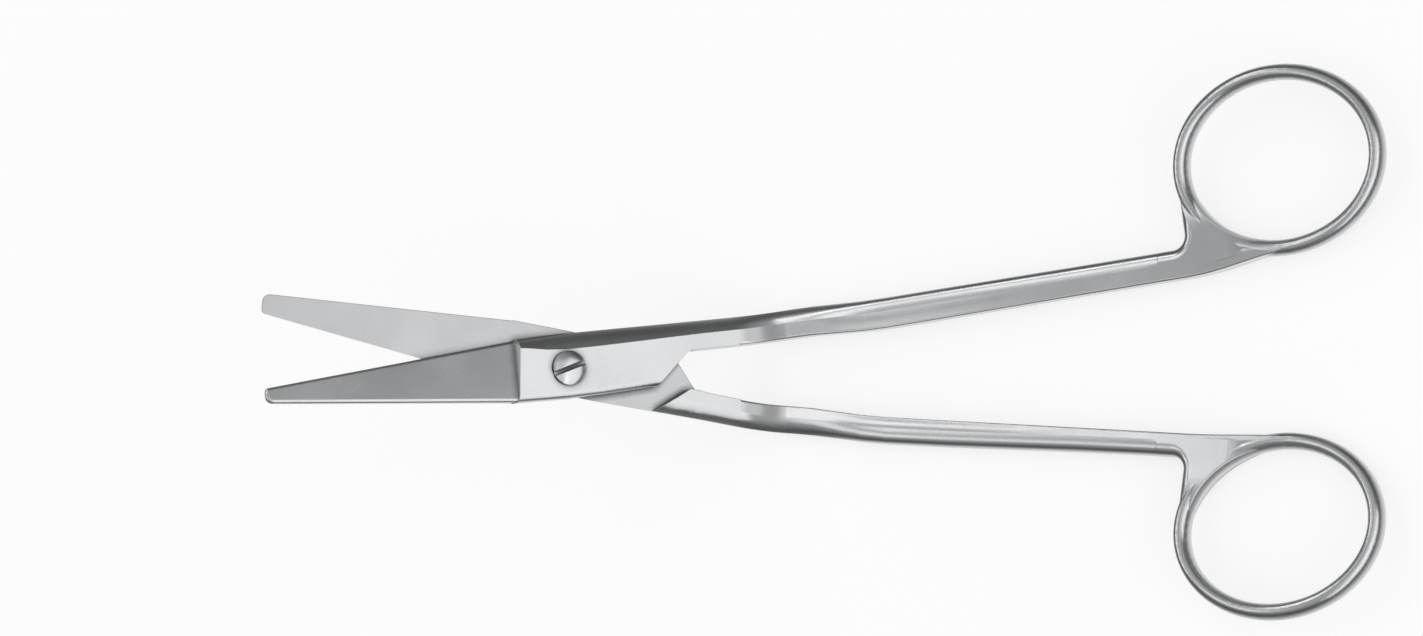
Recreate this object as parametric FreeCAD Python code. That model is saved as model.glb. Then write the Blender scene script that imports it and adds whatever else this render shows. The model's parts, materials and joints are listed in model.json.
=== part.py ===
import FreeCAD, Part
import math
import os
from types import SimpleNamespace

from FreeCAD import Placement, Rotation, Vector

os.makedirs("parts", exist_ok=True)

# Angled dissecting scissors, in millimetres. Each half is drawn closed, in the plane of the
# blades: x runs from the screw toward the rings, y outward on the side of the half's own ring,
# z along the screw toward its head. The handle has a plane of its own past the bend.

# Layout
bend_angle = 48.0
bend_radius = 11.0
screw_to_bend = 33.4
half_thickness = 2.07
lap_gap = 0.04
rest_opening = 16.4

# Front half: the lower blade, the lap under the screw head, the upper ring
front_tip_edge = 1.6
front_tip_back = -0.7
front_heel_edge = 5.15
front_heel_back = -4.45
front_lap_top = 5.5
front_lap_bottom = -4.6
front_lap_end_bottom = -3.5
front_bend_top = 5.45
front_bend_inner = 0.95
front_grip_top = 4.85
front_neck_top = 4.75
front_grip_inner = 0.1
front_neck_inner = 0.25
front_ring_x = 88.0
front_ring_y = 15.5
front_ring_long = 14.25
front_ring_short = 11.8
front_ring_tilt = 1.0
front_shoulder_x = 22.8
front_shoulder_slope = 47.0

# Rear half: the upper blade, the lap with the shoulder that shows, the lower ring
rear_tip_edge = 0.75
rear_tip_back = -2.2
rear_heel_edge = 4.0
rear_heel_back = -5.9
rear_lap_top = 3.95
rear_lap_bottom = -6.0
rear_lap_end_bottom = -4.7
rear_bend_top = 3.45
rear_bend_inner = -0.55
rear_grip_top = 4.2
rear_neck_top = 3.6
rear_grip_inner = 0.35
rear_neck_inner = 0.3
rear_ring_x = 87.2
rear_ring_y = 13.1
rear_ring_long = 14.0
rear_ring_short = 11.55
rear_ring_tilt = -11.5
rear_shoulder_x = 19.4
rear_shoulder_slope = 41.0

# Blades
blade_length = 48.0
rear_tip_ahead = 0.8
ricasso_x = -8.3
ricasso_run = 0.7
ricasso_lean = 8.0
blade_heel_thickness = 1.75
blade_tip_thickness = 0.88
edge_thickness = 0.4
blade_back_round = 0.5
tip_back_round = 1.1
tip_edge_round = 0.8

# Lap joint
shoulder_clearance = 0.3
lap_bevel_width = 2.6
lap_bevel_depth = 1.9
lap_bevel_fullness = 0.4
ricasso_bevel = 1.2
lap_lower_bevel = 1.05
heel_round = 2.5

# Shanks
shank_round_width = 2.1
shank_round_depth = 1.85
shank_inner_round = 0.4
shank_crown = 0.1
grip_settles = 22.0

# Rings
ring_band = 2.45
ring_depth = 4.1
ring_left_meeting = 120.0
ring_right_meeting = 330.0
web_round = 1.6
web_corner_round = 2.2
limb_outside = 0.75
web_top_y = 12.5
web_length = 12.5
web_tail = 1.0
web_slope_length = 5.5
web_slope_depth = 0.9
tail_end_width = 1.0
tail_end_round = 0.35
tail_end_thickness = 3.9
opening_sink = 0.12

# Screw
screw_head_diameter = 5.3
screw_head_side = 0.4
screw_head_dome = 0.4
screw_head_round = 0.66
slot_width = 0.75
slot_depth = 0.6
slot_angle = 23.0
journal_diameter = 3.2
journal_clearance = 0.03
head_clearance = 0.03
thread_diameter = 2.6
rivet_diameter = 3.1
rivet_height = 0.6
rivet_round = 0.35

X = Vector(1, 0, 0)
Y = Vector(0, 1, 0)
Z = Vector(0, 0, 1)
ORIGIN = Vector(0, 0, 0)
bend_start = screw_to_bend - bend_radius * math.tan(math.radians(bend_angle / 2))
bend_tangent = screw_to_bend - bend_start
full_thickness = 2 * half_thickness
REACH = 200.0

front = SimpleNamespace(
    layer=1,
    blade_length=blade_length,
    tip_edge=front_tip_edge,
    tip_back=front_tip_back,
    heel_edge=front_heel_edge,
    heel_back=front_heel_back,
    lap_top=front_lap_top,
    lap_bottom=front_lap_bottom,
    lap_end_bottom=front_lap_end_bottom,
    bend_top=front_bend_top,
    bend_inner=front_bend_inner,
    grip_top=front_grip_top,
    grip_inner=front_grip_inner,
    neck_top=front_neck_top,
    neck_inner=front_neck_inner,
    ring_x=front_ring_x,
    ring_y=front_ring_y,
    ring_long=front_ring_long,
    ring_short=front_ring_short,
    ring_tilt=front_ring_tilt,
    shoulder_x=front_shoulder_x,
    shoulder_slope=front_shoulder_slope,
    heel_x=rear_shoulder_x,
    heel_slope=rear_shoulder_slope,
    other_inner=rear_bend_inner,
)
rear = SimpleNamespace(
    layer=-1,
    blade_length=blade_length + rear_tip_ahead,
    tip_edge=rear_tip_edge,
    tip_back=rear_tip_back,
    heel_edge=rear_heel_edge,
    heel_back=rear_heel_back,
    lap_top=rear_lap_top,
    lap_bottom=rear_lap_bottom,
    lap_end_bottom=rear_lap_end_bottom,
    bend_top=rear_bend_top,
    bend_inner=rear_bend_inner,
    grip_top=rear_grip_top,
    grip_inner=rear_grip_inner,
    neck_top=rear_neck_top,
    neck_inner=rear_neck_inner,
    ring_x=rear_ring_x,
    ring_y=rear_ring_y,
    ring_long=rear_ring_long,
    ring_short=rear_ring_short,
    ring_tilt=rear_ring_tilt,
    shoulder_x=rear_shoulder_x,
    shoulder_slope=rear_shoulder_slope,
    heel_x=front_shoulder_x,
    heel_slope=front_shoulder_slope,
    other_inner=front_bend_inner,
)


def line(a, b):
    return Part.LineSegment(a, b).toShape()


def soft_corner(start, corner, end):
    """A curve from start to end that leaves and arrives in the direction of the corner."""
    curve = Part.BezierCurve()
    curve.setPoles([start, corner, end])
    return curve.toShape()


def bar_section(x, inner, top, top_round, inner_round, h=half_thickness, fullness=1.0, crown=0.0):
    """Closed section across x. Each round is (width, depth) of the two corners on that side.

    The top side's corners run from a flat bevel (fullness 0) to a full round (1), and the two
    faces bulge by crown.
    """
    top_width, top_depth = top_round
    inner_width, inner_depth = inner_round
    middle = (inner + inner_width + top - top_width) / 2
    bevel_y = top - top_width / 2 * (1 - fullness)
    bevel_z = h - top_depth / 2 * (1 - fullness)
    rim = h - crown

    def at(y, z):
        return Vector(x, y, z)

    def across(a, b, z):
        return soft_corner(a, at(middle, z), b) if crown else line(a, b)

    return Part.Wire([
        across(at(inner + inner_width, rim), at(top - top_width, rim), h + crown),
        soft_corner(at(top - top_width, rim), at(bevel_y, bevel_z), at(top, h - top_depth)),
        line(at(top, h - top_depth), at(top, top_depth - h)),
        soft_corner(at(top, top_depth - h), at(bevel_y, -bevel_z), at(top - top_width, -rim)),
        across(at(top - top_width, -rim), at(inner + inner_width, -rim), -h - crown),
        soft_corner(at(inner + inner_width, -rim), at(inner, -h), at(inner, inner_depth - h)),
        line(at(inner, inner_depth - h), at(inner, h - inner_depth)),
        soft_corner(at(inner, h - inner_depth), at(inner, h), at(inner + inner_width, rim)),
    ])


def prism(points, low, high):
    """Straight-sided prism over a plan polygon, from z = low to z = high."""
    corners = [Vector(x, y, low) for x, y in points]
    face = Part.Face(Part.makePolygon(corners + [corners[0]]))
    return face.extrude(Z * (high - low))


def in_handle_plane(shape):
    """Moves a shape from the handle's own plane to its place past the bend."""
    moved = shape.copy()
    moved.Placement = Placement(X * screw_to_bend, Rotation(Y, -bend_angle)).multiply(moved.Placement)
    return moved


def shank_round():
    return shank_round_width, shank_round_depth


def inner_round():
    return shank_inner_round, shank_inner_round


def eased(a, b, share):
    """Value between a and b that leaves a and reaches b with no slope."""
    return a + (b - a) * (1 - math.cos(math.pi * share)) / 2


def eased_sections(start, end, steps, sides):
    """Sections from x = start to x = end; sides holds the value of each side at both ends."""
    sections = []
    for i in range(steps + 1):
        share = i / steps
        inner, top, top_width, top_depth, inner_width, inner_depth, h, fullness, crown = [
            eased(a, b, share) for a, b in sides]
        x = start + (end - start) * share
        rounds = (top_width, top_depth), (inner_width, inner_depth)
        sections.append(bar_section(x, inner, top, *rounds, h, fullness, crown))
    return sections


def lap_bar(half):
    """Lap and shank up to the bend at full thickness, with the lap's width all the way."""
    lower = (lap_lower_bevel, lap_lower_bevel)
    rest = [(half_thickness,) * 2, (lap_bevel_fullness,) * 2, (0.0, 0.0)]
    to_screw = eased_sections(ricasso_x - 2 * ricasso_run, 0.0, 3, [
        (half.heel_back, half.lap_bottom),
        (half.heel_edge, half.lap_top),
        (ricasso_bevel, lap_bevel_width),
        (ricasso_bevel, lap_bevel_depth),
        lower,
        lower,
        *rest,
    ])
    to_bend = eased_sections(0.0, bend_start, 5, [
        (half.lap_bottom, half.lap_end_bottom),
        (half.lap_top, half.bend_top),
        (lap_bevel_width, shank_round_width),
        (lap_bevel_depth, shank_round_depth),
        lower,
        lower,
        *rest,
    ])
    return Part.makeLoft(to_screw + to_bend[1:], True, True)


def bend(half):
    """The bend: the shank's section turned about an axis over the concave side."""
    rounds = shank_round(), inner_round()
    section = bar_section(bend_start, half.bend_inner, half.bend_top, *rounds, fullness=lap_bevel_fullness)
    centre = Vector(bend_start, 0, bend_radius)
    return Part.Face(section).revolve(centre, -Y, bend_angle)


def grip(half):
    """Straight shank of the handle, in the handle's plane, from the bend until it runs into the ring."""
    rounds = [(shank_round_width,) * 2, (shank_round_depth,) * 2, inner_round(), inner_round()]
    thick = [(half_thickness, half_thickness)]
    settle = [(half.bend_inner, half.grip_inner), (half.bend_top, half.grip_top)]
    straight = [(half.grip_inner, half.neck_inner), (half.grip_top, half.neck_top)]
    fuller = [(lap_bevel_fullness, 1.0), (0.0, shank_crown)]
    flatter = [(1.0, 1.0), (shank_crown, 0.0)]
    neck_x = corner_x(half) - 3 * web_corner_round
    neck = [(half.neck_inner,) * 2, (half.neck_top,) * 2, *rounds, *thick, (1.0, 1.0), (0.0, 0.0)]
    sections = eased_sections(bend_tangent, grip_settles, 4, settle + rounds + thick + fuller)
    sections += eased_sections(grip_settles, neck_x, 4, straight + rounds + thick + flatter)[1:]
    sections += eased_sections(neck_x, corner_x(half), 1, neck)[1:]
    sections += eased_sections(corner_x(half), half.ring_x + web_tail, 6, tail_sides(half))[1:]
    return Part.makeLoft(sections, True, True)


def tail_sides(half):
    """The sides of the shank's tail, from the web's corner to its thin end inside the ring's bar."""
    low = ring_low_y(half, web_tail)
    side = tail_end_width / 2
    return [
        (half.neck_inner, low - side),
        (half.neck_top, low + side),
        (shank_round_width, tail_end_round),
        (shank_round_depth, tail_end_round),
        (shank_inner_round, tail_end_round),
        (shank_inner_round, tail_end_round),
        (half_thickness, tail_end_thickness / 2),
        (1.0, 1.0),
        (0.0, 0.0),
    ]


def ring_low_y(half, ahead):
    """The ring's middle line on the side toward the shank, at a distance past the ring's centre."""
    turn = math.radians(half.ring_tilt)
    long = half.ring_long + ring_band / 2
    short = half.ring_short + ring_band / 2
    square = (math.sin(turn) / long) ** 2 + (math.cos(turn) / short) ** 2
    mixed = ahead * math.sin(turn) * math.cos(turn) * (1 / long ** 2 - 1 / short ** 2)
    rest = ahead ** 2 * ((math.cos(turn) / long) ** 2 + (math.sin(turn) / short) ** 2) - 1
    return half.ring_y - (mixed + math.sqrt(mixed ** 2 - square * rest)) / square


def ring_frame(half):
    return Placement(Vector(half.ring_x, half.ring_y, 0), Rotation(Z, half.ring_tilt))


def oval(half, offset, z):
    """Closed oval in the handle's plane, offset outward from the finger opening."""
    curve = Part.Ellipse(Vector(0, 0, z), half.ring_long + offset, half.ring_short + offset)
    wire = Part.Wire([curve.toShape()])
    wire.Placement = ring_frame(half)
    return wire


def ring_run(half, first, last):
    """One run of the ring's bar, an upright oval in section, between two angles round the opening."""
    oval_line = Part.Ellipse(ORIGIN, half.ring_long + ring_band / 2, half.ring_short + ring_band / 2)
    path = Part.ArcOfEllipse(oval_line, first, last).toShape()
    start = path.valueAt(path.FirstParameter)
    outward = path.tangentAt(path.FirstParameter).cross(Z).normalize()
    section = Part.Ellipse(start + Z * ring_depth / 2, start + outward * ring_band / 2, start)
    shell = Part.BRepOffsetAPI.MakePipeShell(Part.Wire([path]))
    shell.setBiNormalMode(Z)
    shell.add(Part.Wire([section.toShape()]))
    shell.build()
    shell.makeSolid()
    return shell.shape()


def ring(half):
    """Finger ring, in two runs that meet on the side away from the shank."""
    left, right = math.radians(ring_left_meeting), math.radians(ring_right_meeting)
    solid = ring_run(half, right - 2 * math.pi, left).fuse(ring_run(half, left, right))
    solid.Placement = ring_frame(half)
    return solid


def corner_x(half):
    """Where the side of the ring's limb comes down to the shank."""
    return half.ring_x - half.ring_long - ring_band * limb_outside


def on_limb_side(edge, half):
    """Whether a plate's flat edge runs along the shank's top, the corner arc or the ring's limb."""
    middle = edge.valueAt((edge.FirstParameter + edge.LastParameter) / 2)
    flat = abs(abs(middle.z) - half_thickness) < 0.01
    beside = middle.x < corner_x(half) + 0.01
    return flat and beside and half.neck_top - 0.01 < middle.y < web_top_y


def web_plate(half):
    """Flat web in the corner between shank and ring limb, sloping off up the limb and along the ring."""
    top = half.neck_top
    r = web_corner_round
    x = corner_x(half)
    end_x = x + web_length
    inside_y = half.neck_inner + 2 * shank_inner_round
    middle = r * math.sin(math.radians(45))
    arc = Part.Arc(
        Vector(x - r, top, 0),
        Vector(x - r + middle, top + r - middle, 0),
        Vector(x, top + r, 0),
    ).toShape()
    corners = [
        Vector(x, top + r, 0),
        Vector(x, web_top_y, 0),
        Vector(x + ring_band, web_top_y, 0),
        Vector(end_x, ring_low_y(half, end_x - half.ring_x), 0),
        Vector(x - 2 * r, inside_y, 0),
        Vector(x - 2 * r, top, 0),
        Vector(x - r, top, 0),
    ]
    sides = [line(a, b) for a, b in zip(corners, corners[1:])]
    plate = Part.Face(Part.Wire([arc] + sides)).extrude(Z * full_thickness)
    plate.translate(Z * -half_thickness)
    plate = plate.makeFillet(web_round, [e for e in plate.Edges if on_limb_side(e, half)])
    for side in (1, -1):
        plate = plate.cut(end_slope(web_top_y, Y, X, side))
        plate = plate.cut(end_slope(end_x, X, Y, side))
    return plate


def end_slope(end, along, across, side):
    """What is ground off one face of the web toward one of its ends, so that it sinks into the ring."""
    outer = Z * half_thickness * side
    sunk = Z * (half_thickness - web_slope_depth) * side
    foot = along * (end - web_slope_length)
    halfway = along * (end - web_slope_length / 2)
    corners = [
        along * end + sunk,
        along * REACH + sunk,
        along * REACH + outer * 2,
        foot + outer * 2,
        foot + outer,
    ]
    sides = [line(a, b) for a, b in zip(corners, corners[1:])]
    hollow = soft_corner(foot + outer, halfway + outer, along * end + sunk)
    return Part.Face(Part.Wire(sides + [hollow])).extrude(across * REACH)


def handle(half):
    """Grip, web and ring in the handle's plane, open where the finger goes."""
    hole = Part.Face(oval(half, ring_band * opening_sink, -REACH)).extrude(Z * 2 * REACH)
    flat_part = grip(half).fuse(web_plate(half)).cut(hole)
    return flat_part.fuse(ring(half))


def heel_cutter(half):
    """What is cut off the lap beyond its heel, down to the inner side of the shank."""
    slope = math.tan(math.radians(half.heel_slope))
    shift = shoulder_clearance / math.sin(math.radians(half.heel_slope))
    far = half.lap_bottom - full_thickness
    corner_x = half.heel_x - shift + half.bend_inner / slope
    far_x = half.heel_x - shift + far / slope
    points = [(far_x, far), (corner_x, half.bend_inner), (REACH, half.bend_inner), (REACH, far)]
    cutter = prism(points, -full_thickness, full_thickness)
    turn = [e for e in cutter.Edges if is_upright_at(e, corner_x, half.bend_inner)]
    return cutter.makeFillet(heel_round, turn)


def lap_side(half):
    """The layer that the other half fills: up to the shoulder line, and beside the other shank."""
    slope = math.tan(math.radians(half.shoulder_slope))
    wide = REACH / 4
    beside = shoulder_clearance - half.other_inner
    points = [
        (-REACH, -wide),
        (-REACH, wide),
        (half.shoulder_x - wide / slope, wide),
        (half.shoulder_x - beside / slope, beside),
        (bend_start, beside),
        (bend_start, -wide),
    ]
    face = lap_gap / 2 * half.layer
    low, high = sorted((face, -half.layer * REACH))
    return prism(points, low, high)


def blade(half):
    """Blade from its blunt tip to the ricasso: flat inner face, slanted outer face, round back."""
    tip_x = -half.blade_length
    root_x = ricasso_x + ricasso_run
    lean = math.tan(math.radians(ricasso_lean))
    inner_z = lap_gap / 2
    outline = Part.makePolygon([
        Vector(tip_x, half.tip_edge, inner_z),
        Vector(root_x + lean * half.heel_edge, half.heel_edge, inner_z),
        Vector(root_x + lean * half.heel_back, half.heel_back, inner_z),
        Vector(tip_x, half.tip_back, inner_z),
        Vector(tip_x, half.tip_edge, inner_z),
    ])
    body = Part.Face(outline).extrude(Z * half_thickness)
    back_corner = [e for e in body.Edges if is_upright_at(e, tip_x, half.tip_back)]
    body = body.makeFillet(tip_back_round, back_corner)
    edge_corner = [e for e in body.Edges if is_upright_at(e, tip_x, half.tip_edge)]
    body = body.makeFillet(tip_edge_round, edge_corner)
    body = body.cut(above_outer_face(half))
    rounded = [e for e in body.Edges if on_blade_rim(e, half)]
    body = body.makeFillet(blade_back_round, rounded)
    if half.layer < 0:
        body = body.mirror(ORIGIN, Z)
    return body


def is_upright_at(edge, x, y):
    """Whether an edge stands along z over the point x, y."""
    ends = [v.Point for v in edge.Vertexes]
    return all(abs(p.x - x) < 0.01 and abs(p.y - y) < 0.01 for p in ends) and edge.Length > 1


def outer_face_height(half, x, y):
    """Height of the blade's slanted outer face over its inner face."""
    along = (x + half.blade_length) / (half.blade_length + ricasso_x)
    back_y = half.tip_back + (half.heel_back - half.tip_back) * along
    edge_y = half.tip_edge + (half.heel_edge - half.tip_edge) * along
    back_z = blade_tip_thickness + (blade_heel_thickness - blade_tip_thickness) * along
    across = (blade_heel_thickness - edge_thickness) / (half.heel_edge - half.heel_back)
    return back_z - across * (y - back_y)


def above_outer_face(half):
    """A wedge over the plane through the outer face, to be cut off the blade."""
    def on_face(x, y):
        return Vector(x, y, outer_face_height(half, x, y) + lap_gap / 2)

    origin = on_face(ricasso_x, half.heel_back)
    along = on_face(-half.blade_length, half.tip_back) - origin
    across = on_face(ricasso_x, half.heel_edge) - origin
    normal = along.cross(across).normalize()
    if normal.z < 0:
        normal = normal * -1
    side = Z.cross(normal).normalize()
    ahead = normal.cross(side)
    r = REACH
    corners = [origin + side * r + ahead * r, origin - side * r + ahead * r,
               origin - side * r - ahead * r, origin + side * r - ahead * r]
    return Part.Face(Part.makePolygon(corners + [corners[0]])).extrude(normal * r)


def on_blade_rim(edge, half):
    """Whether an edge lies on the outer face along the blade's back or round its tip."""
    middle = edge.valueAt((edge.FirstParameter + edge.LastParameter) / 2)
    height = outer_face_height(half, middle.x, middle.y) + lap_gap / 2
    if abs(middle.z - height) > 0.01:
        return False
    along = (middle.x + half.blade_length) / (half.blade_length + ricasso_x)
    back_y = half.tip_back + (half.heel_back - half.tip_back) * along
    near_tip = middle.x < -half.blade_length + tip_back_round
    return near_tip or abs(middle.y - back_y) < 0.05


def half_solid(half):
    """One forging, closed, in its own coordinates."""
    bar = lap_bar(half).cut(heel_cutter(half)).cut(past_ricasso(half))
    body = bar.fuse([bend(half), in_handle_plane(handle(half))])
    body = body.cut(lap_side(half))
    body = body.fuse(blade(half))
    return body.removeSplitter()


def past_ricasso(half):
    """What is ground away beyond the ricasso, above the blade, with its slanted end wall."""
    top = half_thickness * half.layer
    foot = lap_gap / 2 * half.layer
    over = top * 2
    corners = [
        Vector(ricasso_x + ricasso_run / 2, -REACH, over),
        Vector(ricasso_x + ricasso_run / 2, -REACH, top),
        Vector(ricasso_x - ricasso_run / 2, -REACH, foot),
        Vector(ricasso_x - ricasso_run / 2, -REACH, -over),
        Vector(-REACH, -REACH, -over),
        Vector(-REACH, -REACH, over),
    ]
    cutter = Part.Face(Part.makePolygon(corners + [corners[0]])).extrude(Y * 2 * REACH)
    cutter.rotate(X * ricasso_x, Z, -ricasso_lean)
    return cutter


def screw():
    """Slotted screw: raised head, journal, threaded end and riveted tip, one piece."""
    under_head = half_thickness + head_clearance
    lap_face = -lap_gap / 2
    head_r = screw_head_diameter / 2
    journal_r = journal_diameter / 2
    thread_r = thread_diameter / 2
    rivet_r = rivet_diameter / 2
    side_top = under_head + screw_head_side
    head_top = side_top + screw_head_dome
    rivet_end = -half_thickness - rivet_height

    def at(r, z):
        return Vector(r, 0, z)

    dome = soft_corner(at(head_r, side_top), at(head_r - screw_head_round, head_top), at(0, head_top))
    rivet = soft_corner(at(rivet_r, rivet_round + rivet_end), at(rivet_r, rivet_end), at(0, rivet_end))
    profile = Part.Wire([
        line(at(0, rivet_end), at(0, head_top)),
        dome,
        line(at(head_r, side_top), at(head_r, under_head)),
        line(at(head_r, under_head), at(journal_r, under_head)),
        line(at(journal_r, under_head), at(journal_r, lap_face)),
        line(at(journal_r, lap_face), at(thread_r, lap_face)),
        line(at(thread_r, lap_face), at(thread_r, -half_thickness)),
        line(at(thread_r, -half_thickness), at(rivet_r, -half_thickness)),
        line(at(rivet_r, -half_thickness), at(rivet_r, rivet_round + rivet_end)),
        rivet,
    ])
    turned = Part.Face(profile).revolve(ORIGIN, Z, 360)
    slot = Part.makeBox(2 * screw_head_diameter, slot_width, REACH)
    slot.translate(Vector(-screw_head_diameter, -slot_width / 2, head_top - slot_depth))
    slot.rotate(ORIGIN, Z, slot_angle)
    return turned.cut(slot)


def bored(body, diameter):
    bore = Part.makeCylinder(diameter / 2, 2 * REACH, Z * -REACH)
    return body.cut(bore)


def level_angle():
    """How far the blades' plane stands up when both opened shanks lie level on a table."""
    bend_turn = math.radians(bend_angle)
    shank_rise = math.sin(bend_turn) * math.cos(bend_turn) * (1 - math.cos(math.radians(rest_opening / 2)))
    return bend_angle + math.degrees(math.asin(shank_rise))


def at_rest(shape, turn):
    """Opens a shape about the screw and lays the shanks level."""
    placed = shape.copy()
    placed.rotate(ORIGIN, Z, turn)
    placed.rotate(ORIGIN, Y, level_angle())
    return placed


def build():
    front_half = bored(half_solid(front), journal_diameter + 2 * journal_clearance)
    rear_half = bored(half_solid(rear), thread_diameter).mirror(ORIGIN, Y)
    return {
        "front_half": at_rest(front_half, rest_opening / 2),
        "rear_half": at_rest(rear_half, -rest_opening / 2),
        "pivot_screw": at_rest(screw(), 0.0),
    }


def under_middle(parts):
    """Moves every part so that the origin lies under the middle of the whole, at its lowest point."""
    box = Part.makeCompound(list(parts.values())).optimalBoundingBox(False)
    middle = Vector((box.XMin + box.XMax) / 2, (box.YMin + box.YMax) / 2, box.ZMin)
    for shape in parts.values():
        shape.translate(middle * -1)
    return parts


for name, shape in under_middle(build()).items():
    shape.Solids[0].exportStep("parts/" + name + ".step")
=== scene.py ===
"""Looks of the dissecting scissors: satin steel, a pale table, soft studio light, the photograph's view."""
import json
import math

import bpy
from mathutils import Matrix, Vector

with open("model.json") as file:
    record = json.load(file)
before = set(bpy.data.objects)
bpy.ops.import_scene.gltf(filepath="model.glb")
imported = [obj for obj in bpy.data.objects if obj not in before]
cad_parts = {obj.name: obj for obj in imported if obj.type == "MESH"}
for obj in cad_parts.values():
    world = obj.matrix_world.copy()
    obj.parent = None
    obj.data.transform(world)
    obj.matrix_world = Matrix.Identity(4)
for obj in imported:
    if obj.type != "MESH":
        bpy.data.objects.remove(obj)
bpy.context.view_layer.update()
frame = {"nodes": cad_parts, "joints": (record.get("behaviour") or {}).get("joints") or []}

# The photograph: its size in pixels, and the pixel at the middle of the screw's seat
IMAGE_WIDTH = 1423
IMAGE_HEIGHT = 636
SCREW_PIXEL = (569, 368)

# Its camera: lean toward the handles, tilt below the middle line, roll, distance and scale at the pivot
CAMERA_LEAN = math.radians(27.29)
CAMERA_TILT = math.radians(-7.4)
CAMERA_ROLL = math.radians(0.35)
CAMERA_DISTANCE = 0.8
PIXELS_PER_METRE = 6520
SENSOR_WIDTH_MM = 36

# The screw's seat lies half the joint's thickness above the faces that slide on each other
HALF_THICKNESS = 0.00207
PIVOT = frame["joints"][0]
PIVOT_POINT = Vector(PIVOT["pos_m"])
PIVOT_AXIS = Vector(PIVOT["axis"]).normalized()
SCREW_SEAT = PIVOT_POINT + PIVOT_AXIS * HALF_THICKNESS

# Steel: its colour, and how rough the halves and the screw are
STEEL_COLOR = (0.69, 0.70, 0.71)
STEEL_ROUGHNESS = 0.25
SCREW_ROUGHNESS = 0.2

# Blotches in the polish: how fine they are, how dark and light they tint the steel, between which
# values of theirs the roughness changes, and how far it changes down and up
BLOTCH_SCALE = 90.0
BLOTCH_DETAIL = 5.0
DARK_TINT = 0.95
LIGHT_TINT = 1.05
BLOTCH_LOW = 0.3
BLOTCH_HIGH = 0.7
SMOOTHER = 0.04
ROUGHER = 0.05

# Grain along the scissors, specks between it, and how much both raise the surface
GRAIN_SCALE = (120, 2600, 2600)
GRAIN_DETAIL = 4.0
SPECK_SCALE = 3200.0
SPECK_DETAIL = 3.0
NOISE_ROUGHNESS = 0.6
BUMP_STRENGTH = 0.05
BUMP_HEIGHT = 0.00003

# Softened edges
EDGE_RADIUS = 0.00012
EDGE_SAMPLES = 12

# Painted shade in crevices: how near a wall has to be, and how strongly the painted shade darkens the
# halves and the screw's slot
CREVICE_WIDTH = 0.0012
CREVICE_SAMPLES = 8
CREVICE_SHADE_POWER = 2.0
SLOT_SHADE_POWER = 4.0

# Ground faces: how near the joint's plane, how squarely they face along its axis, how much darker
GROUND_NEAR = 0.0003
GROUND_FACING = 0.95
GROUND_SHADE = 0.2

# Table: the grey that takes the shadow, and the glow that only the camera sees on top of it
TABLE_SIZE = 6.0
TABLE_GREY = 0.4
TABLE_GLOW = 0.74

# Room: height of the direction, from -1 straight down to 1 overhead, and how bright it is there
ROOM_BY_HEIGHT = (
    (-1.0, 0.95),
    (-0.78, 0.75),
    (-0.46, 0.24),
    (-0.16, 0.1),
    (0.12, 0.1),
    (0.62, 0.36),
    (0.86, 0.46),
    (1.0, 0.38),
)

# Soft boxes: name, azimuth from +X toward +Y and elevation in degrees, width, height, and how
# bright each point of the box is
BOX_DISTANCE = 1.2
SOFT_BOXES = (
    ("box_handles", -26, 17.5, 2.3, 0.74, 0.93),
    ("box_over", -14, 48, 1.3, 0.9, 0.36),
    ("box_shanks", 142, 56, 0.46, 0.46, 0.95),
    ("box_grips", 212, 54, 0.6, 0.42, 0.66),
    ("box_beyond", 174, 26, 0.7, 0.42, 1.1),
    ("box_streak", 121, 31, 0.4, 0.26, 2.0),
)

WHITE = (1.0, 1.0, 1.0)

# Sockets of the colour mix, whose node has the same names for every kind of value
MIX_SHARE = 0
MIX_FIRST = 6
MIX_SECOND = 7
MIX_RESULT = 2


class Nodes:
    """A short way to write a node tree."""

    def __init__(self, tree):
        self.tree = tree
        tree.nodes.clear()

    def put(self, socket, value):
        """Gives a socket a link where the value is a socket too, and the plain value otherwise."""
        if isinstance(value, bpy.types.NodeSocket):
            self.tree.links.new(value, socket)
        else:
            socket.default_value = value

    def add(self, kind, settings=None, **inputs):
        """A node with its settings, and its inputs by name, with an underscore for each space."""
        node = self.tree.nodes.new(kind)
        for key, value in (settings or {}).items():
            setattr(node, key, value)
        for key, value in inputs.items():
            self.put(node.inputs[key.replace("_", " ")], value)
        return node

    def fill(self, kind, settings, values):
        """A node with its settings, and its inputs in their order."""
        node = self.add(kind, settings)
        for socket, value in zip(node.inputs, values):
            self.put(socket, value)
        return node

    def math(self, operation, *values):
        """The result of a sum on numbers."""
        return self.fill("ShaderNodeMath", {"operation": operation}, values).outputs["Value"]

    def times(self, a, b):
        """The product of two numbers."""
        return self.math("MULTIPLY", a, b)

    def vector(self, operation, *values):
        """The results of a sum on vectors: a vector and a value."""
        return self.fill("ShaderNodeVectorMath", {"operation": operation}, values).outputs

    def noise(self, place, scale, detail):
        """Random spots from 0 to 1."""
        node = self.add(
            "ShaderNodeTexNoise",
            Vector=place,
            Scale=scale,
            Detail=detail,
            Roughness=NOISE_ROUGHNESS,
        )
        return node.outputs["Fac"]

    def mix(self, blend, share, first, second):
        """Two colours mixed."""
        node = self.add("ShaderNodeMix", {"data_type": "RGBA", "blend_type": blend})
        self.put(node.inputs[MIX_SHARE], share)
        self.put(node.inputs[MIX_FIRST], first)
        self.put(node.inputs[MIX_SECOND], second)
        return node.outputs[MIX_RESULT]


def opaque(color, share=1.0):
    """A colour times a share, with nothing showing through."""
    return tuple(part * share for part in color) + (1.0,)


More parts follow.
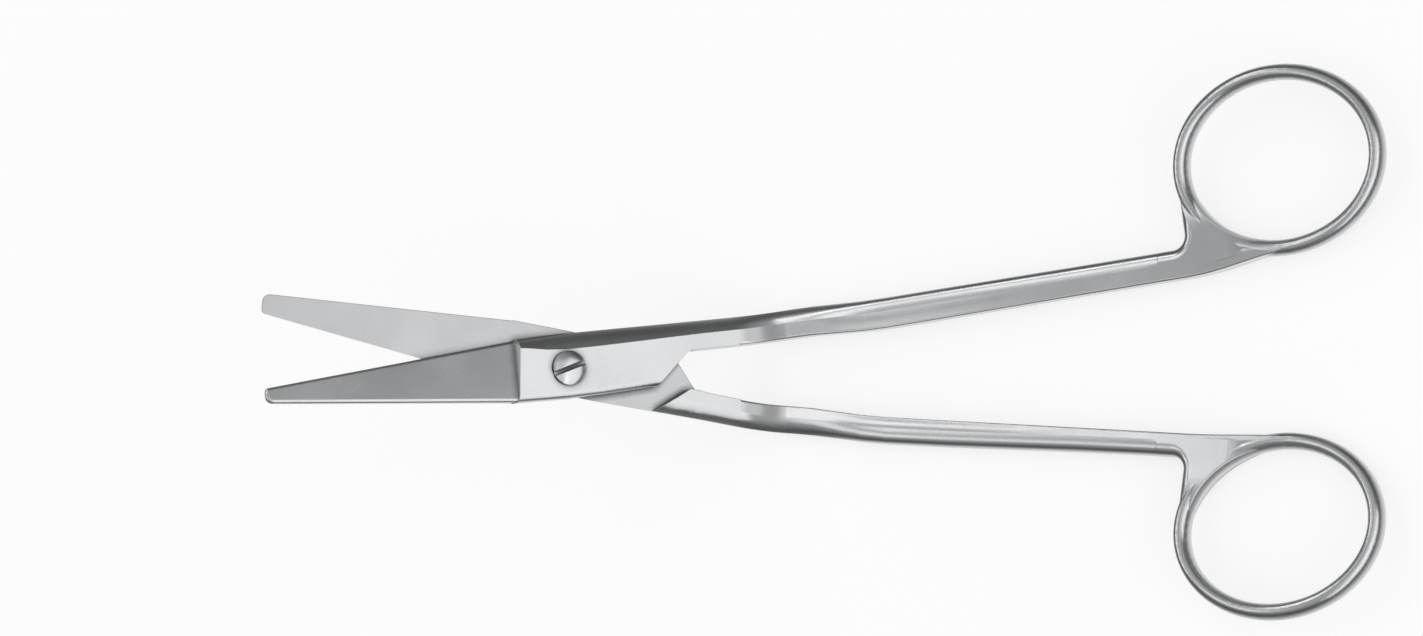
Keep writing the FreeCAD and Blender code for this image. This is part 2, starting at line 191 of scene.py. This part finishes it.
def make_camera():
    """The photograph's camera: over the handles, leaning toward them, a little below the middle line."""
    lean = CAMERA_LEAN
    tilt = CAMERA_TILT
    back = Vector((math.sin(lean) * math.cos(tilt), math.sin(tilt), math.cos(lean) * math.cos(tilt)))
    right = Matrix.Rotation(CAMERA_ROLL, 3, back) @ Vector((math.cos(lean), 0, -math.sin(lean)))
    up = back.cross(right)
    focal = CAMERA_DISTANCE * PIXELS_PER_METRE
    depth = CAMERA_DISTANCE - (SCREW_SEAT - PIVOT_POINT).dot(back)
    aside = (SCREW_PIXEL[0] - IMAGE_WIDTH / 2) / focal * depth
    below = (SCREW_PIXEL[1] - IMAGE_HEIGHT / 2) / focal * depth
    data = bpy.data.cameras.new("camera")
    data.sensor_width = SENSOR_WIDTH_MM
    data.lens = focal / IMAGE_WIDTH * SENSOR_WIDTH_MM
    camera = bpy.data.objects.new("camera", data)
    bpy.context.scene.collection.objects.link(camera)
    place = SCREW_SEAT + back * depth - right * aside + up * below
    turn = Matrix((right, up, back)).transposed().to_4x4()
    camera.matrix_world = Matrix.Translation(place) @ turn
    bpy.context.scene.camera = camera


def ground_faces(n, place):
    """Shade of the two flat faces that slide on each other, ground greyer than the polished outside."""
    lever = n.vector("SUBTRACT", place, PIVOT_POINT)["Vector"]
    height = n.vector("DOT_PRODUCT", lever, PIVOT_AXIS)["Value"]
    normal = n.add("ShaderNodeTexCoord").outputs["Normal"]
    facing = n.math("ABSOLUTE", n.vector("DOT_PRODUCT", normal, PIVOT_AXIS)["Value"])
    in_plane = n.math("COMPARE", height, 0.0, GROUND_NEAR)
    flat = n.math("GREATER_THAN", facing, GROUND_FACING)
    return n.math("SUBTRACT", 1.0, n.times(n.times(in_plane, flat), GROUND_SHADE))


def crevice_shade_and_ground_tone(n, place, painted_shade_power):
    """How light the steel is drawn: painted shade in crevices, and the ground faces' own greyer tone."""
    # Painted shade: the steel's colour is darkened where walls are near, in crevices and the screw's slot
    open_air = n.add("ShaderNodeAmbientOcclusion", {"samples": CREVICE_SAMPLES}, Distance=CREVICE_WIDTH)
    painted_crevice_shade = n.math("POWER", open_air.outputs["AO"], painted_shade_power)
    return n.times(painted_crevice_shade, ground_faces(n, place))


def worked_surface(n, place):
    """Which way the surface faces: softened edges, with fine grain and specks over them."""
    along = n.add("ShaderNodeMapping", Vector=place, Scale=GRAIN_SCALE).outputs["Vector"]
    grain = n.noise(along, 1.0, GRAIN_DETAIL)
    speck = n.noise(place, SPECK_SCALE, SPECK_DETAIL)
    edge = n.add("ShaderNodeBevel", {"samples": EDGE_SAMPLES}, Radius=EDGE_RADIUS)
    bump = n.add(
        "ShaderNodeBump",
        Strength=BUMP_STRENGTH,
        Distance=BUMP_HEIGHT,
        Height=n.math("ADD", grain, speck),
        Normal=edge.outputs["Normal"],
    )
    return bump.outputs["Normal"]


def steel(name, roughness, painted_shade_power):
    """Satin steel: a fine lengthwise grain, soft blotches in the polish, and softened edges."""
    material = bpy.data.materials.new(name)
    material.use_nodes = True
    n = Nodes(material.node_tree)
    place = n.add("ShaderNodeTexCoord").outputs["Object"]
    blotch = n.noise(place, BLOTCH_SCALE, BLOTCH_DETAIL)
    polish = n.add(
        "ShaderNodeMapRange",
        Value=blotch,
        From_Min=BLOTCH_LOW,
        From_Max=BLOTCH_HIGH,
        To_Min=roughness - SMOOTHER,
        To_Max=roughness + ROUGHER,
    )
    tint = n.mix("MIX", blotch, opaque(STEEL_COLOR, DARK_TINT), opaque(STEEL_COLOR, LIGHT_TINT))
    # Base colour: the tint times painted shade in crevices and the ground faces' greyer tone
    shader = n.add(
        "ShaderNodeBsdfPrincipled",
        Base_Color=n.mix("MULTIPLY", 1.0, tint, crevice_shade_and_ground_tone(n, place, painted_shade_power)),
        Metallic=1.0,
        Roughness=polish.outputs["Result"],
        Normal=worked_surface(n, place),
    )
    n.add("ShaderNodeOutputMaterial", Surface=shader.outputs["BSDF"])
    return material


def dress(node, material):
    """Gives a CAD node its material."""
    slots = frame["nodes"][node].data.materials
    slots.clear()
    slots.append(material)


def make_table():
    """A pale table under the object. Metal doesn't mirror it, but the lower half of the room."""
    material = bpy.data.materials.new("table")
    material.use_nodes = True
    n = Nodes(material.node_tree)
    paper = n.add("ShaderNodeBsdfDiffuse", Color=opaque(WHITE, TABLE_GREY))
    seen = n.add("ShaderNodeLightPath").outputs["Is Camera Ray"]
    glow = n.add("ShaderNodeEmission", Color=opaque(WHITE), Strength=n.times(seen, TABLE_GLOW))
    both = n.fill("ShaderNodeAddShader", {}, (paper.outputs["BSDF"], glow.outputs["Emission"]))
    n.add("ShaderNodeOutputMaterial", Surface=both.outputs["Shader"])
    bpy.ops.mesh.primitive_plane_add(size=TABLE_SIZE)
    table = bpy.context.object
    table.name = "table"
    table.data.materials.append(material)
    table.visible_glossy = False


def make_room():
    """Room light by height: near white underneath, dark round the horizon, grey overhead."""
    world = bpy.data.worlds.new("room")
    bpy.context.scene.world = world
    world.use_nodes = True
    n = Nodes(world.node_tree)
    direction = n.add("ShaderNodeTexCoord").outputs["Generated"]
    height = n.add("ShaderNodeSeparateXYZ", Vector=direction).outputs["Z"]
    share = n.add("ShaderNodeMapRange", Value=height, From_Min=-1.0)
    by_height = n.add("ShaderNodeValToRGB", Fac=share.outputs["Result"])
    stops = by_height.color_ramp.elements
    while len(stops) < len(ROOM_BY_HEIGHT):
        stops.new(0.5)
    for stop, (level, brightness) in zip(stops, ROOM_BY_HEIGHT):
        stop.position = (level + 1) / 2
        stop.color = opaque(WHITE, brightness)
    back = n.add("ShaderNodeBackground", Color=by_height.outputs["Color"], Strength=1.0)
    n.add("ShaderNodeOutputWorld", Surface=back.outputs["Background"])


def soft_box(name, azimuth, elevation, width, height, level):
    """A rectangular soft box that faces the object."""
    turned = math.radians(azimuth)
    raised = math.radians(elevation)
    outward = math.cos(raised)
    toward = Vector((outward * math.cos(turned), outward * math.sin(turned), math.sin(raised)))
    data = bpy.data.lights.new(name, "AREA")
    data.shape = "RECTANGLE"
    data.size = width
    data.size_y = height
    data.energy = level * math.pi * width * height
    lamp = bpy.data.objects.new(name, data)
    lamp.location = toward * BOX_DISTANCE
    lamp.rotation_euler = toward.to_track_quat("Z", "Y").to_euler()
    bpy.context.scene.collection.objects.link(lamp)


make_camera()
make_table()
make_room()
for box in SOFT_BOXES:
    soft_box(*box)
# The halves and the screw get painted shade in crevices, stronger in the screw's slot
half_steel = steel("satin_steel", STEEL_ROUGHNESS, CREVICE_SHADE_POWER)
screw_steel = steel("screw_steel", SCREW_ROUGHNESS, SLOT_SHADE_POWER)
dress("front_half", half_steel)
dress("rear_half", half_steel)
dress("pivot_screw", screw_steel)
bpy.context.scene.view_settings.view_transform = "Standard"
